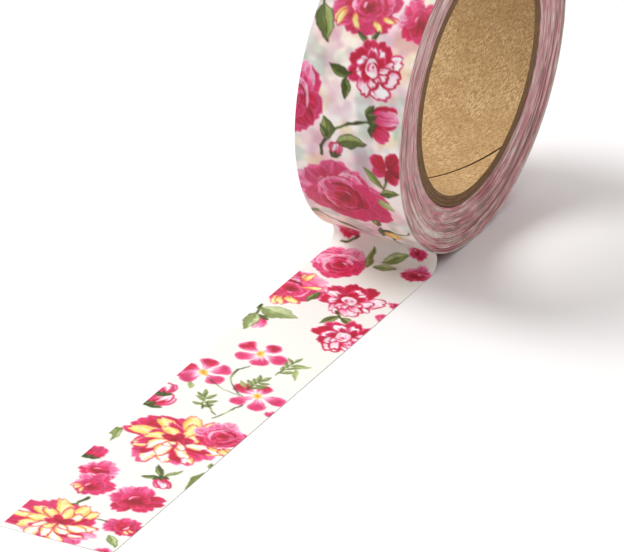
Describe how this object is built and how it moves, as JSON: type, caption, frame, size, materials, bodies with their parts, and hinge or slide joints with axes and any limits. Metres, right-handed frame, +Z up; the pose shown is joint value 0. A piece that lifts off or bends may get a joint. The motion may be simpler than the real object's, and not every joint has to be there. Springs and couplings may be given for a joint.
{
  "type": "washi tape roll",
  "caption": "Roll of floral paper tape on a kraft board core, with a strip peeled off and laid flat in front of it.",
  "frame": {"origin": "middle of the footprint on the table: half way along the whole object, on the roll's mid plane, at table height", "axes": "+X along the strip from the roll towards its free end, Y the roll's axis, +Z up from the table"},
  "size_m": [0.1204, 0.015, 0.0468],
  "materials": {
    "kraft_board": "matte",
    "kraft_board_inner_layers": "matte",
    "tape_edges": "matte",
    "tape_print": "satin"
  },
  "bodies": {
    "laid_strip": {"laid_strip": "tape_print", "paying_out_strip": "tape_print"},
    "peel_point": {"peel_bend": "tape_print"},
    "roll": {"core_inner_ply": "kraft_board", "core_middle_ply": "kraft_board_inner_layers", "core_outer_ply": "kraft_board_inner_layers", "wound_turns": "tape_edges", "outer_turn": "tape_print"},
    "free_end_1": {"free_end_1": "tape_print"},
    "free_end_2": {"free_end_2": "tape_print"},
    "free_end_3": {"free_end_3": "tape_print"},
    "free_end_4": {"free_end_4": "tape_print"},
    "free_end_5": {"free_end_5": "tape_print"}
  },
  "joints": [
    {"name": "roll_travel", "type": "slide", "parent": "laid_strip", "child": "peel_point", "axis": [-1, 0, 0], "range_m": [0, 0.147], "deforming": ["paying_out_strip"]},
    {"name": "roll_spin", "type": "hinge", "parent": "peel_point", "child": "roll", "pos_m": [-0.0368, 0, 0.0234], "axis": [0, 1, 0], "range_deg": [0, 360]},
    {"name": "free_end_lift", "type": "hinge", "parent": "laid_strip", "child": "free_end_1", "pos_m": [0.0252, 0, 0], "axis": [0, -1, 0], "range_deg": [0, 12]},
    {"name": "free_end_curl_2", "type": "hinge", "parent": "free_end_1", "child": "free_end_2", "pos_m": [0.0322, 0, 0], "axis": [0, -1, 0], "range_deg": [0, 12]},
    {"name": "free_end_curl_3", "type": "hinge", "parent": "free_end_2", "child": "free_end_3", "pos_m": [0.0392, 0, 0], "axis": [0, -1, 0], "range_deg": [0, 12]},
    {"name": "free_end_curl_4", "type": "hinge", "parent": "free_end_3", "child": "free_end_4", "pos_m": [0.0462, 0, 0], "axis": [0, -1, 0], "range_deg": [0, 12]},
    {"name": "free_end_curl_5", "type": "hinge", "parent": "free_end_4", "child": "free_end_5", "pos_m": [0.0532, 0, 0], "axis": [0, -1, 0], "range_deg": [0, 12]}
  ],
  "couplings": [
    {"joint": "roll_spin", "follows": "roll_travel", "rad_per_m": 42.735},
    {"joint": "free_end_curl_2", "follows": "free_end_lift", "ratio": 1},
    {"joint": "free_end_curl_3", "follows": "free_end_lift", "ratio": 1},
    {"joint": "free_end_curl_4", "follows": "free_end_lift", "ratio": 1},
    {"joint": "free_end_curl_5", "follows": "free_end_lift", "ratio": 1}
  ]
}
